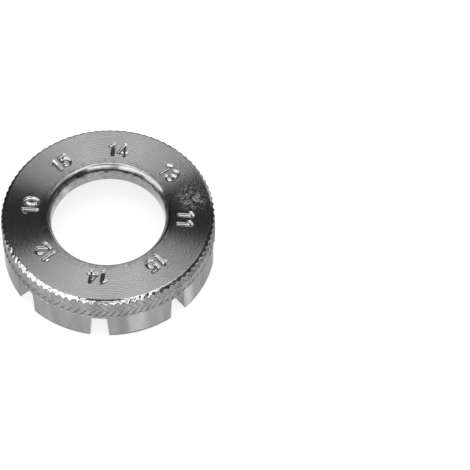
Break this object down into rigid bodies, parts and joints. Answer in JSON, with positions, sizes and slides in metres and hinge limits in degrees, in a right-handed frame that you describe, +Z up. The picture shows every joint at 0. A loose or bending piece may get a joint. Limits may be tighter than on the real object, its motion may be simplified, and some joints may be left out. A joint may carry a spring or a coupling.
{
  "type": "spoke wrench",
  "caption": "Round ring-shaped spoke wrench: gauge slots in its underside turn spoke nipples, with a herringbone-knurled grip rim and a turned face that carries the gauge numbers.",
  "frame": {"origin": "on the ring's axis, at the height of the jaw tips that the wrench stands on, under the middle of the box", "axes": "+Z up along the ring's axis, out of the numbered face; the front is -Y, through one 14 gauge slot; +X runs through the 11 gauge slot and -X through the 10 gauge slot"},
  "size_m": [0.042, 0.042, 0.012],
  "materials": {
    "turned_face": "bright, with fine concentric turning marks",
    "knurled_rim": "bright plating over the knurl",
    "plated_casting": "satin plating over a casting"
  },
  "bodies": {
    "root": {"number_ring": "turned_face", "knurled_rim": "knurled_rim", "jaw_14_13": "plated_casting", "jaw_13_11": "plated_casting", "jaw_11_15": "plated_casting", "jaw_15_14_front": "plated_casting", "jaw_14_12": "plated_casting", "jaw_12_10": "plated_casting", "jaw_10_15": "plated_casting", "jaw_15_14_back": "plated_casting"}
  },
  "joints": []
}
